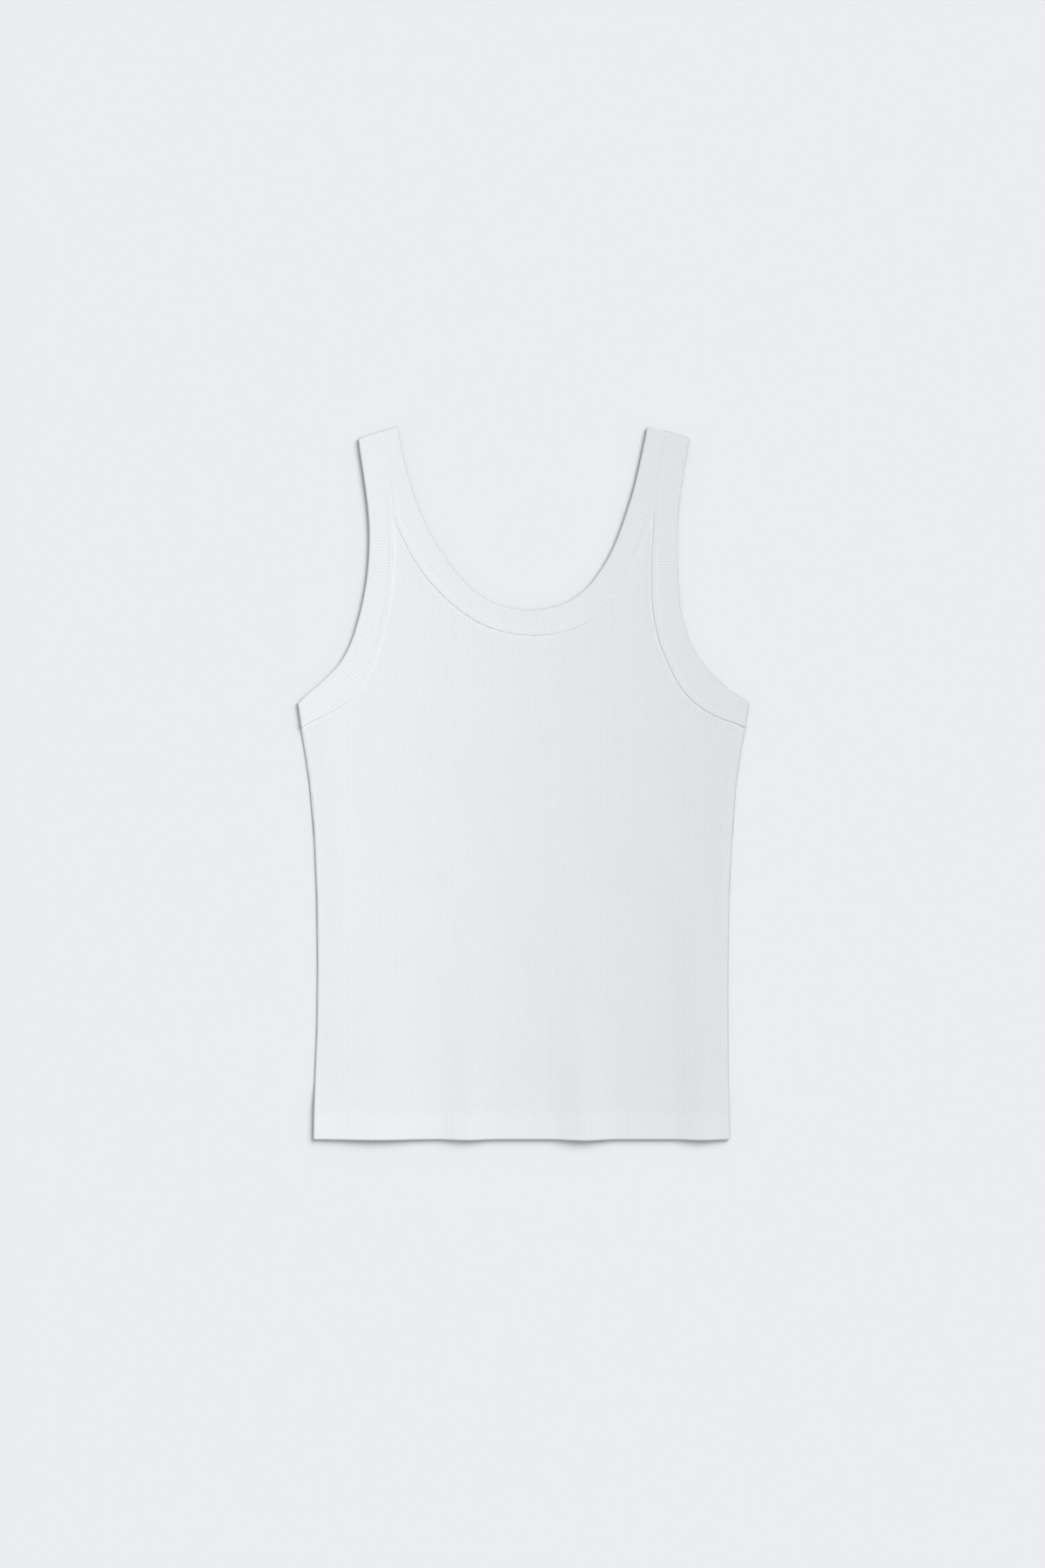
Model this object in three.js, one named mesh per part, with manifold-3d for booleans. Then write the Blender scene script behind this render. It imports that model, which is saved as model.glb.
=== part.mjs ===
// Ribbed tank top, laid flat on a table with its back upward.
//
// The garment is five cut pieces of fine rib knit: a front panel that lies on the table, a back panel over
// it, a neck band and two armhole bands. The panels meet at the side seams, and their lower edges are turned
// up inside as a hem of two layers. Each band is a strip folded in half lengthwise, so it is two layers as well.
// It is one closed ring, which runs along the back, folds over at the top of the strap and comes back along
// the front. An armhole band also folds at the underarm. On the straps the armhole bands cover the seam side
// of the neck band, so that it narrows there.
//
// Millimetres. +X is to the right, +Y points from the hem to the shoulders and +Z is up from the table. The
// origin is on the table, under the middle of the garment.
import * as THREE from "three";
import { mergeVertices } from "three/addons/utils/BufferGeometryUtils.js";
import Module from "manifold-3d";

const wasm = await Module();
wasm.setup();

// Driving sizes
const CLOTH = 1.0; // one layer of rib knit
const DOUBLE = 2 * CLOTH; // a band or a hem
const SEAM_GAP = 0.3; // between neighbouring pieces, and between the front and the back where they press
const HEM_DEPTH = 25;
const STRAP_TOP_FALL = 0.31; // fall of the strap's top edge for each millimetre outward

// Ribs of the knit. They run up the panels, and across the bands, which are cut the other way of the cloth.
const PANEL_RIB = { pitch: 1.86, height: 0.3 };
const BAND_RIB = { pitch: 2.4, height: 0.25 };

// Outlines. The top lies a little unevenly, so each height above the hem has a distance from the middle line
// to the left and to the right.
const SIDE_SEAM = [
  { up: 0, left: 168.8, right: 166.1 },
  { up: 37, left: 168.1, right: 165.1 },
  { up: 90, left: 166.0, right: 164.7 },
  { up: 142, left: 165.3, right: 164.7 },
  { up: 195, left: 166.0, right: 165.4 },
  { up: 230, left: 167.4, right: 167.2 },
  { up: 265, left: 169.5, right: 169.3 },
  { up: 300, left: 173.7, right: 172.8 },
  { up: 331.2, left: 178.9, right: 178.7 },
];
const ARMHOLE_EDGE = [
  { up: 563.9, left: 133.3, right: 133.9 },
  { up: 535.0, left: 128.8, right: 128.6 },
  { up: 506.5, left: 125.1, right: 124.9 },
  { up: 485.5, left: 124.0, right: 123.9 },
  { up: 464.5, left: 124.7, right: 124.0 },
  { up: 443.5, left: 127.2, right: 124.8 },
  { up: 422.5, left: 131.6, right: 127.3 },
  { up: 401.5, left: 138.0, right: 133.4 },
  { up: 384.0, left: 147.0, right: 143.4 },
  { up: 371.0, left: 159.2, right: 155.0 },
  { up: 360.2, left: 171.6, right: 167.6 },
  { up: 351.8, left: 182.0, right: 182.0 },
];
const NECK_EDGE = [
  { up: 573.6, left: 101.3, right: 99.6 },
  { up: 552.7, left: 97.3, right: 95.2 },
  { up: 527.5, left: 91.0, right: 89.6 },
  { up: 502.3, left: 81.8, right: 82.0 },
  { up: 477.1, left: 68.9, right: 72.6 },
  { up: 457.0, left: 54.6, right: 61.4 },
  { up: 441.0, left: 39.2, right: 47.6 },
  { up: 430.4, left: 20.6, right: 30.0 },
];
const NECK_LOWEST = { up: 425.8, right: 4.6 };

// Band widths from free edge to seam, at shares of the free edge's length. The armhole's runs from the top of
// the strap to the underarm, and the neck's from the left strap to the right one.
const ARMHOLE_BAND_WIDTH = [
  { share: 0, width: 20.6 },
  { share: 0.17, width: 20.9 },
  { share: 0.3, width: 19.6 },
  { share: 0.45, width: 21.4 },
  { share: 0.57, width: 22.4 },
  { share: 0.69, width: 23.2 },
  { share: 0.85, width: 26.6 },
  { share: 1, width: 20.7 },
];
const NECK_BAND_WIDTH = [
  { share: 0, width: 21.5 },
  { share: 0.28, width: 21.9 },
  { share: 0.4, width: 19.6 },
  { share: 0.49, width: 20.3 },
  { share: 0.59, width: 22.3 },
  { share: 0.66, width: 20.9 },
  { share: 1, width: 21.5 },
];

// Soft folds of the back panel. Each stands off the table at the hem, leans as it runs up and fades out.
const FOLDS = [
  { x: -151, lift: 1.7, halfWidth: 24, run: 150, lean: 14 },
  { x: -45, lift: 2.2, halfWidth: 26, run: 260, lean: 6 },
  { x: 49, lift: 2.8, halfWidth: 27, run: 330, lean: -8 },
  { x: 139, lift: 2.0, halfWidth: 22, run: 240, lean: -12 },
];
const HEM_SWING = 0.4; // how far the hem's edge swings out at a fold, for each millimetre of lift

// Lie of the back panel, as heights of its outer face
const HEM_FACE = 2 * DOUBLE + SEAM_GAP;
const SEAM_FACE = DOUBLE + SEAM_GAP + CLOTH; // beside the bands, whose lower half it clears
const SAG = 0.9; // how far the middle of the panel sinks toward the front panel
const SIDE_DROP = { depth: CLOTH, reach: 8 }; // its rolled side edges come down to the front panel
const HEM_SLOPE = 24; // length over which it falls from the hem's thickness

// A band's fold, about a level axis halfway up the two thicknesses
const FOLD = { axis: HEM_FACE / 2, inner: SEAM_GAP / 2, outer: HEM_FACE / 2, steps: 6 };
const EDGE_ROUNDING = 0.5; // of a band's free edge
const END_TURN = 30; // length over which the crosswise lines swing to the line of the fold
const END_EASE = 10; // length that gives way so that the fold's round back ends on the outline

// Fineness of the meshes
const BODY_ROWS = [HEM_DEPTH + HEM_SLOPE, 110, 190, 270, 340, 520];
const HEM_MARGIN = -3; // the cloth before its outline is cut starts below the hem's line
const OUTSIDE_ROWS = [HEM_MARGIN, HEM_DEPTH, ...BODY_ROWS];
const HEM_STEP = 0.5; // length of the step where the turned-up layer ends
const INSIDE_ROWS = [HEM_MARGIN, HEM_DEPTH, HEM_DEPTH + HEM_STEP, ...BODY_ROWS];
const FLOORS = { outside: -1, inside: -2 }; // of the blocks that the back panel's wall is cut from
const PANEL_REACH = 186; // half width of the cloth before its outline is cut
const INSIDE_PITCH = 4 * PANEL_RIB.pitch;
const PLAIN_STEPS = 40; // along a band's plain run on the front
const SEAM_STEPS = 2 * PLAIN_STEPS; // along the panels' edges where the bands are sewn on
const SIDE_STEPS = 24;
const HEM_STEPS = 48;
const FAR = 300; // clear of the garment on every side

const CLOTH_LOOK = { color: 0xf0f0f1, roughness: 0.92, metalness: 0 };

const clampShare = (value) => Math.min(1, Math.max(0, value));
const smooth = (share) => share * share * (3 - 2 * share);
const evenly = (count, make) => Array.from({ length: count + 1 }, (_, i) => make(i / count, i));

/** Reads one column of a table between its rows, easing from each row to the next. */
function readRows(rows, place, column, at) {
  const reached = rows.findIndex((row) => row[place] >= at);
  const next = reached < 0 ? rows.length - 1 : Math.max(1, reached);
  const [before, after] = [rows[next - 1], rows[next]];
  const share = clampShare((at - before[place]) / (after[place] - before[place]));
  return THREE.MathUtils.lerp(before[column], after[column], smooth(share));
}

// Solids

/** A closed mesh from points and faces, turned inside out if its faces point inward. */
function closedGeometry(points, faces) {
  const corner = (i) => new THREE.Vector3(...points[i]);
  const volume = faces.reduce((sum, [a, b, c]) => sum + corner(a).dot(corner(b).cross(corner(c))), 0);
  const outward = volume > 0 ? faces : faces.map(([a, b, c]) => [a, c, b]);
  const geometry = new THREE.BufferGeometry();
  geometry.setAttribute("position", new THREE.Float32BufferAttribute(points.flat(), 3));
  geometry.setIndex(outward.flat());
  return geometry;
}

/** A block on a grid of columns and rows: its top follows height(x, up), and its floor is level. */
function block(columns, rows, height, floor) {
  const layer = (level) => rows.flatMap((up) => columns.map((x) => [x, up, level(x, up)]));
  const points = [...layer(height), ...layer(() => floor)];
  const [wide, long] = [columns.length, rows.length];
  const top = (column, row) => row * wide + column;
  const bottom = (column, row) => wide * long + top(column, row);
  const faces = [];
  const quad = (a, b, c, d) => faces.push([a, b, c], [a, c, d]);
  for (let row = 0; row < long - 1; row++) {
    for (let column = 0; column < wide - 1; column++) {
      quad(top(column, row), top(column + 1, row), top(column + 1, row + 1), top(column, row + 1));
      const [right, above] = [column + 1, row + 1];
      quad(bottom(column, row), bottom(column, above), bottom(right, above), bottom(right, row));
    }
    quad(top(0, row), top(0, row + 1), bottom(0, row + 1), bottom(0, row));
    quad(top(wide - 1, row + 1), top(wide - 1, row), bottom(wide - 1, row), bottom(wide - 1, row + 1));
  }
  for (let column = 0; column < wide - 1; column++) {
    quad(top(column + 1, 0), top(column, 0), bottom(column, 0), bottom(column + 1, 0));
    const last = long - 1;
    quad(top(column, last), top(column + 1, last), bottom(column + 1, last), bottom(column, last));
  }
  return toSolid(closedGeometry(points, faces));
}

/** An upright prism over an outline in plan, taller than the garment is thick. */
function prism(outline) {
  const upright = { depth: 2 * FAR, bevelEnabled: false };
  return toSolid(new THREE.ExtrudeGeometry(new THREE.Shape(outline), upright).translate(0, 0, -FAR));
}

/** A closed ring through cross-sections that have equally many corners. */
function ring(sections) {
  const corners = sections[0].length;
  const faces = [];
  sections.forEach((_, i) => {
    const here = i * corners;
    const next = ((i + 1) % sections.length) * corners;
    for (let k = 0; k < corners; k++) {
      const after = (k + 1) % corners;
      faces.push([here + k, here + after, next + after], [here + k, next + after, next + k]);
    }
  });
  return closedGeometry(sections.flat().map((point) => point.toArray()), faces);
}

function toSolid(geometry) {
  geometry.deleteAttribute("normal");
  geometry.deleteAttribute("uv");
  const merged = mergeVertices(geometry);
  const vertProperties = new Float32Array(merged.attributes.position.array);
  const triVerts = new Uint32Array(merged.index.array);
  return new wasm.Manifold(new wasm.Mesh({ numProp: 3, vertProperties, triVerts }));
}

function toGeometry(solid) {
  const { vertProperties, triVerts, numProp } = solid.getMesh();
  const geometry = new THREE.BufferGeometry();
  geometry.setAttribute("position", new THREE.BufferAttribute(vertProperties, numProp));
  geometry.setIndex(new THREE.BufferAttribute(triVerts, 1));
  return geometry;
}

// Outlines in plan

const LEFT = { name: "left", sign: -1 };
const RIGHT = { name: "right", sign: 1 };

const rowPoints = (rows, side) => rows.map((row) => new THREE.Vector2(side.sign * row[side.name], row.up));
const armholeEdge = (side) => new THREE.SplineCurve(rowPoints(ARMHOLE_EDGE, side));

/** The neckline's free edge, from the top of the left strap round to the top of the right one. */
function neckEdge() {
  const lowest = new THREE.Vector2(NECK_LOWEST.right, NECK_LOWEST.up);
  return new THREE.SplineCurve([
    ...rowPoints(NECK_EDGE, LEFT),
    lowest,
    ...rowPoints(NECK_EDGE, RIGHT).reverse(),
  ]);
}

/** The line of the strap's top, toward the middle of the garment, and the way that the top faces. */
const strapTopLine = (side) => new THREE.Vector2(-side.sign, STRAP_TOP_FALL).normalize();
const strapTopOut = (side) => new THREE.Vector2(side.sign * STRAP_TOP_FALL, 1).normalize();

/** The line of the underarm, from the armhole's edge down to the side seam, and the way that it faces. */
function underarmLine(side) {
  const tip = rowPoints(ARMHOLE_EDGE, side).at(-1);
  return rowPoints(SIDE_SEAM, side).at(-1).sub(tip).normalize();
}
function underarmOut(side) {
  const line = underarmLine(side);
  return new THREE.Vector2(-line.y * side.sign, line.x * side.sign);
}

/** The way across a band, square to its free edge but swung to the lines of its ends near them. */
function acrossBand(band, share) {
  const tangent = band.edge.getTangentAt(share);
  const across = new THREE.Vector2(-tangent.y, tangent.x).multiplyScalar(band.seamSide);
  const length = band.edge.getLength();
  across.lerp(band.start.line, smooth(clampShare(1 - (share * length) / END_TURN)));
  across.lerp(band.end.line, smooth(clampShare(1 - ((1 - share) * length) / END_TURN)));
  return across.normalize();
}

/** The points at a band's free edge and at its seam, drawn in at its ends by the radius of the fold. */
function bandLine(band, share) {
  const length = band.edge.getLength();
  const free = band.edge.getPointAt(share);
  free.addScaledVector(band.start.out, -FOLD.outer * clampShare(1 - (share * length) / END_EASE));
  free.addScaledVector(band.end.out, -FOLD.outer * clampShare(1 - ((1 - share) * length) / END_EASE));
  const across = acrossBand(band, share);
  const seam = free.clone().addScaledVector(across, readRows(band.widths, "share", "width", share));
  return { free, seam, across };
}

/** What a band takes from the pieces beside it: all the plan on its free side, and the gap at its seam. */
function bandZone(band) {
  const boundary = evenly(SEAM_STEPS, (share) => {
    const { seam, across } = bandLine(band, share);
    return seam.addScaledVector(across, SEAM_GAP);
  });
  const beyondEnd = boundary.at(-1).clone().addScaledVector(band.end.out, FAR);
  const beyondStart = boundary[0].clone().addScaledVector(band.start.out, FAR);
  return prism([...boundary, beyondEnd, beyondStart]);
}

/** The panels' outline below the bands. The hem's edge swings out a little at each fold. */
function bodyOutline(hemSwing) {
  const seamLine = (side) => new THREE.SplineCurve(rowPoints(SIDE_SEAM, side)).getPoints(SIDE_STEPS);
  const [left, right] = [seamLine(LEFT), seamLine(RIGHT)];
  const hem = evenly(HEM_STEPS, (share) => {
    const x = THREE.MathUtils.lerp(left[0].x, right[0].x, share);
    return new THREE.Vector2(x, -hemSwing * foldLift(x, 0));
  });
  const aboveRight = new THREE.Vector2(right.at(-1).x, 2 * FAR);
  const aboveLeft = new THREE.Vector2(left.at(-1).x, 2 * FAR);
  return [...hem, ...right.slice(1), aboveRight, aboveLeft, ...left.slice(1).reverse()];
}

// Lie of the back panel

/** How far the folds lift the back panel at a place. */
function foldLift(x, up) {
  const lifts = FOLDS.map((fold) => {
    const along = clampShare(up / fold.run);
    const offset = clampShare(Math.abs(x - fold.x - fold.lean * along) / fold.halfWidth);
    return fold.lift * (1 - smooth(along)) * (1 - smooth(offset));
  });
  return lifts.reduce((sum, lift) => sum + lift, 0);
}

/** Height of the back panel's outer face, without its ribs. */
function backFace(x, up) {
  const overHem = 1 - smooth(clampShare((up - HEM_DEPTH) / HEM_SLOPE));
  const [bodyStart, bodyEnd] = [HEM_DEPTH + HEM_SLOPE, SIDE_SEAM.at(-1).up];
  const rise = clampShare((up - bodyStart) / (bodyEnd - bodyStart));
  const halfWidth = readRows(SIDE_SEAM, "up", x < 0 ? "left" : "right", up);
  const sideways = clampShare(Math.abs(x) / halfWidth);
  const sag = SAG * Math.sin(Math.PI * rise) * Math.cos((Math.PI / 2) * sideways);
  const drop = SIDE_DROP.depth * (1 - smooth(clampShare((halfWidth - Math.abs(x)) / SIDE_DROP.reach)));
  const body = SEAM_FACE - sag - drop;
  return THREE.MathUtils.lerp(body, HEM_FACE, overHem) + foldLift(x, up);
}

const layers = (up) => (up <= HEM_DEPTH ? DOUBLE : CLOTH);

// Pieces

function armholeBand(side) {
  return {
    edge: armholeEdge(side),
    widths: ARMHOLE_BAND_WIDTH,
    seamSide: -side.sign,
    start: { line: strapTopLine(side), out: strapTopOut(side) },
    end: { line: underarmLine(side), out: underarmOut(side) },
  };
}

function neckBand() {
  return {
    edge: neckEdge(),
    widths: NECK_BAND_WIDTH,
    seamSide: -1,
    start: { line: strapTopLine(LEFT).negate(), out: strapTopOut(LEFT) },
    end: { line: strapTopLine(RIGHT).negate(), out: strapTopOut(RIGHT) },
  };
}

/** One cross-section of a band: inner face, rounded free edge and outer face, turned about the fold. */
function bandSection({ free, seam, across }, turn, out, rib) {
  const facing = new THREE.Vector3(out.x * Math.sin(turn), out.y * Math.sin(turn), Math.cos(turn));
  const at = (point, radius) =>
    new THREE.Vector3(point.x, point.y, FOLD.axis).addScaledVector(facing, radius);
  const rounded = free.clone().addScaledVector(across, EDGE_ROUNDING);
  return [
    at(seam, FOLD.inner),
    at(free, FOLD.inner),
    at(rounded, FOLD.outer + rib),
    at(seam, FOLD.outer + rib),
  ];
}

/** A whole band: its ribbed run on the back, the fold at its end, its plain run below and its other fold. */
function bandRing(band) {
  const ribs = Math.round(band.edge.getLength() / BAND_RIB.pitch);
  const level = Math.PI;
  const back = evenly(2 * ribs, (share, i) =>
    bandSection(bandLine(band, share), 0, band.end.out, (i % 2) * BAND_RIB.height),
  );
  const front = evenly(PLAIN_STEPS, (share) =>
    bandSection(bandLine(band, 1 - share), level, band.end.out, 0),
  );
  const fold = (place, out, turnAt) =>
    evenly(FOLD.steps, (share) => bandSection(bandLine(band, place), turnAt(share), out, 0)).slice(1, -1);
  const endFold = fold(1, band.end.out, (share) => level * share);
  const startFold = fold(0, band.start.out, (share) => level * (1 - share));
  return ring([...back, ...endFold, ...front, ...startFold]);
}

const bands = { left: armholeBand(LEFT), right: armholeBand(RIGHT), neck: neckBand() };
const armholeZones = [bandZone(bands.left), bandZone(bands.right)];
const allZones = [...armholeZones, bandZone(bands.neck)];

const cutAway = (solid, zones) => zones.reduce((rest, zone) => rest.subtract(zone), solid);

/** The back panel: a wall between its ribbed outer face and its plain inner one, cut to its outline. */
function backPanel() {
  const ribCount = Math.ceil(PANEL_REACH / PANEL_RIB.pitch);
  const halfPitch = PANEL_RIB.pitch / 2;
  const outsideColumns = evenly(4 * ribCount, (_, i) => (i - 2 * ribCount) * halfPitch);
  const ribAt = (x) => PANEL_RIB.height * (Math.round(Math.abs(x) / halfPitch) % 2);
  const insideCount = Math.ceil(PANEL_REACH / INSIDE_PITCH);
  const insideColumns = evenly(2 * insideCount, (_, i) => (i - insideCount) * INSIDE_PITCH);
  const outerFace = (x, up) => backFace(x, up) + ribAt(x);
  const innerFace = (x, up) => backFace(x, up) - layers(up);
  const outside = block(outsideColumns, OUTSIDE_ROWS, outerFace, FLOORS.outside);
  const inside = block(insideColumns, INSIDE_ROWS, innerFace, FLOORS.inside);
  const wall = outside.subtract(inside).intersect(prism(bodyOutline(HEM_SWING)));
  return toGeometry(cutAway(wall, allZones));
}

/** The front panel, flat on the table. */
function frontPanel() {
  const columns = evenly(2, (share) => PANEL_REACH * (2 * share - 1));
  const sheet = block(columns, INSIDE_ROWS, (_, up) => layers(up), 0);
  return toGeometry(cutAway(sheet.intersect(prism(bodyOutline(0))), allZones));
}

const neckBandRing = () => toGeometry(cutAway(toSolid(bandRing(bands.neck)), armholeZones));

const cloth = (name, geometry) => {
  const mesh = new THREE.Mesh(geometry, new THREE.MeshStandardMaterial(CLOTH_LOOK));
  mesh.name = name;
  return mesh;
};

const tankTop = new THREE.Group();
tankTop.add(
  cloth("front_panel", frontPanel()),
  cloth("back_panel", backPanel()),
  cloth("neck_band", neckBandRing()),
  cloth("armhole_band_left", bandRing(bands.left)),
  cloth("armhole_band_right", bandRing(bands.right)),
);

// The origin goes under the middle of the garment
const middle = new THREE.Box3().setFromObject(tankTop).getCenter(new THREE.Vector3());
tankTop.children.forEach((mesh) => mesh.geometry.translate(-middle.x, -middle.y, 0));

export default tankTop;
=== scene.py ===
"""Ribbed tank top laid flat on a pale table, its back upward.

The cloth is modelled as it is sewn. Each body panel is one layer of fine rib knit whose lower edge folds up
inside as a hem. Each band is a strip folded double, a closed ring that turns over at the top of the strap,
and on the armholes at the underarm too. Ribs are real relief: they run up the panels and across the bands.
The knit's single stitches are painted shade and bump; painted shade also darkens the grooves between ribs and
the folded edges.
"""

import math

import bmesh
import bpy
import numpy as np
from bpy.props import FloatProperty, FloatVectorProperty, PointerProperty
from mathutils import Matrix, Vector


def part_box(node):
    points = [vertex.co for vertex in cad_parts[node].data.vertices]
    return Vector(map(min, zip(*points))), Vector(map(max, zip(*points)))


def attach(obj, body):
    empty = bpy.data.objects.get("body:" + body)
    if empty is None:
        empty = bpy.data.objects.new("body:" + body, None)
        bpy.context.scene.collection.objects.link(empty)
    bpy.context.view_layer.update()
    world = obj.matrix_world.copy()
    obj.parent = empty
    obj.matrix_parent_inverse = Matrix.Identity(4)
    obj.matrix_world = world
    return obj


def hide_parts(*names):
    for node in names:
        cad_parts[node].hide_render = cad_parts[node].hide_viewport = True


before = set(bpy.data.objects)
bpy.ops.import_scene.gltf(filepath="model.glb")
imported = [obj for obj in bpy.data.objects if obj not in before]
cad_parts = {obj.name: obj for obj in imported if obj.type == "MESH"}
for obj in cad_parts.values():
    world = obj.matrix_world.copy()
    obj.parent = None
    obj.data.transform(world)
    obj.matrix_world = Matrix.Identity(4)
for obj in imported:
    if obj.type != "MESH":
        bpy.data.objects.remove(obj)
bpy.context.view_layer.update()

bl_info = {
    "name": "Tank Top, Laid Flat",
    "version": (1, 0, 0),
    "blender": (4, 5, 0),
    "location": "3D View > Sidebar > Tank Top",
    "description": "Builds a ribbed tank top laid flat, with its bands, hems and stitching",
    "category": "Object",
}

MM = 0.001
HEM_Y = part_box("front_panel")[0].y  # the hem's line in the frame; heights above it are called up

# Half widths of the garment to each side of its middle line: up, left, right, in millimetres
SIDE_SEAM = (
    (0, 168.8, 166.1),
    (37, 168.1, 165.1),
    (90, 166.0, 164.7),
    (142, 165.3, 164.7),
    (195, 166.0, 165.4),
    (230, 167.4, 167.2),
    (265, 169.5, 169.3),
    (300, 173.7, 172.8),
    (331.2, 178.9, 178.7),
)
ARMHOLE_EDGE = (
    (563.9, 133.3, 133.9),
    (535.0, 128.8, 128.6),
    (506.5, 125.1, 124.9),
    (485.5, 124.0, 123.9),
    (464.5, 124.7, 124.0),
    (443.5, 127.2, 124.8),
    (422.5, 131.6, 127.3),
    (401.5, 138.0, 133.4),
    (384.0, 147.0, 143.4),
    (371.0, 159.2, 155.0),
    (360.2, 171.6, 167.6),
    (351.8, 182.0, 182.0),
)
NECK_EDGE = (
    (573.6, 101.3, 99.6),
    (552.7, 97.3, 95.2),
    (527.5, 91.0, 89.6),
    (502.3, 81.8, 82.0),
    (477.1, 68.9, 72.6),
    (457.0, 54.6, 61.4),
    (441.0, 39.2, 47.6),
    (430.4, 20.6, 30.0),
)
NECK_LOWEST = (4.6, 425.8)  # right of the middle line, up
UNDERARM_UP = SIDE_SEAM[-1][0] + 6  # above it the panels' sides lie under the armhole bands

# Band widths from free edge to seam: share of the free edge's length, width in millimetres
ARMHOLE_BAND_WIDTH = (
    (0, 20.6),
    (0.17, 20.9),
    (0.3, 19.6),
    (0.45, 21.4),
    (0.57, 22.4),
    (0.69, 23.2),
    (0.85, 26.6),
    (1, 20.7),
)
NECK_BAND_WIDTH = (
    (0, 21.5),
    (0.28, 21.9),
    (0.4, 19.6),
    (0.49, 20.3),
    (0.59, 22.3),
    (0.66, 20.9),
    (1, 21.5),
)

# Soft folds of the back panel at the hem: x, lift, half width, run up the garment, lean, in millimetres
FOLDS = (
    (-118, 2.0, 48, 210, 12),
    (-45, 2.0, 24, 150, 6),
    (49, 2.9, 28, 180, -8),
    (144, 2.0, 24, 240, -10),
)
HEM_SWING = 0.3  # how far the hem's edge swings out at a fold, for each millimetre of lift
STRAP_TOP_FALL = 0.31  # fall of the strap's top for each millimetre outward

# Lie of the back panel, in millimetres: the height of its outer face, and how it falls from there
HEM_FACE = 4.3
SEAM_FACE = 3.3
SAG = 0.9  # of its middle toward the front panel
SIDE_DROP = 1.15  # of its side edges
SIDE_DROP_REACH = (20, 8)  # left, right
HEM_SLOPE = 24  # length over which it falls from the hem's thickness
CORNER = 2.5  # radius of the hem's corners
EDGE_ROUND = 1.7  # how far in from a side edge a panel's outer face rolls over
EDGE_FALL = 1.2  # how far the roll falls
PAINTED_EDGE_SHADE_REACH = 1.8  # painted shade reaches this far in from a folded edge
SEAM_RISE = 0.3  # the panel climbs a little to the bands, then dips under them at the seam
SEAM_RISE_REACH = 7
SEAM_DIP = (0.55, 1.9)  # depth and width
# Slow unevenness of the lying cloth: depth, wavelength across, wavelength up, phase
UNEVEN = ((0.16, 96, 210, 0.4), (0.12, 61, -330, 2.1), (0.1, 143, 120, 4.0), (0.07, 43, 160, 1.3))
PUCKER = (0.1, 9.5, 6.0)  # along the band seams: depth, wavelength, reach

# The hem's stitching, in millimetres
STITCH_INSET = 2.2  # its middle line, down from the turned-up edge
STITCH_ROWS = (-1.5, 1.5)  # its two rows, from that line
STITCH_MARGIN = 2  # length without stitches at a side seam
STITCH = (2.3, 0.75, 0.15)  # spacing, share that shows, thread radius
# One stitch: place along its half length, share of its radius
STITCH_SECTIONS = ((-1, 0.2), (-0.7, 0.85), (0, 1.0), (0.7, 0.85), (1, 0.2))
STITCH_SIDES = 6
STITCH_ON_RIBS = (0.8, 0.5)  # share of the ribs' relief that it lies on: back, front
STITCH_PROUD = 0.3  # share of its radius that it stands out
STITCH_SUNK = 0.05  # how far it is pressed in
STITCH_LOWEST = 0.004  # no stitch reaches below this level
SEWN_DENT = (0.08, 1.2)  # depth and width of the trough along the stitching

# A band's section, in millimetres from the level midway between its two thicknesses
FOLD_MIDDLE = HEM_FACE / 2
BAND_INNER = 0.15
BAND_OUTER = 1.86
ALLOWANCE = (0.27, 4.4, 0.7)  # swell over the seam allowance: height, width, slope
SEAM_GROOVE = (0.15, 0.5)  # depth and width of the rounding at the seam
SEAM_FADES = (505, 530)  # heights on the straps between which the swell and the groove run out
SHOULDER = 1.7  # how far in from its free edge a band's outer face rounds over
FROM_SEAM = (0, 0.2, 0.5, 0.9, 1.6, 2.8, 3.6, 4.2, 4.8, 5.6)  # points across the outer face, from the seam
FROM_FREE = (4.0, 2.6)  # and from the free edge
EDGE_ANGLES = (90, 70, 50, 32, 16, 0, -30, -60, -90)  # points round the free edge, in degrees
NECK_TUCK = 0.1  # how far the neck band runs under the armhole bands
# How deep a band's seam sits: share of the free edge's length, part of the full depth
LEFT_SEAM_SITS = ((0, 0.3), (0.7, 0.3), (0.9, 1), (1, 1))
RIGHT_SEAM_SITS = ((0, 1), (1, 1))
NECK_SEAM_SITS = ((0, 0.3), (0.2, 0.6), (0.35, 0.6), (0.5, 0.35), (0.65, 0.25), (1, 0.2))
TOP_EDGE_PAINTED_SHADE = 0.6  # how much of the painted edge shade a band has where it turns over lengthwise
END_TURN = 30  # length over which the ways across a band swing to the line of its end
END_EASE = 10  # length that gives way, so that the end's round back lies on the outline

# Fineness of the meshes
RIB_STEPS = 4  # columns to one rib of a panel
BAND_RIB_STEPS = 5  # sections to one rib of a band
HEM_FOLD_STEPS = 8
TURNED_ROW = 12.0  # height of the lower row of the turned-up layer
PANEL_TUCK = 0.5  # how far the panels run under the bands
MAX_REACH = 186  # half width of a panel's columns before they are drawn in to its outline
MERGE_DISTANCE = 2e-6
TINY_EDGE = 1e-6
PARALLEL = 1e-9  # a way and a line that cross by less than this count as parallel
SIDE_TOP_GAP = 0.05  # a panel's outline follows the band's seam from this far above the side seam
POINTS_AT_ONCE = 20000  # compared with a seam in one go

# Flat sizes of what shows, in metres: the mean width of a band's layer
ARMHOLE_BAND_CUT = 0.0245
NECK_BAND_CUT = 0.0218

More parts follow.
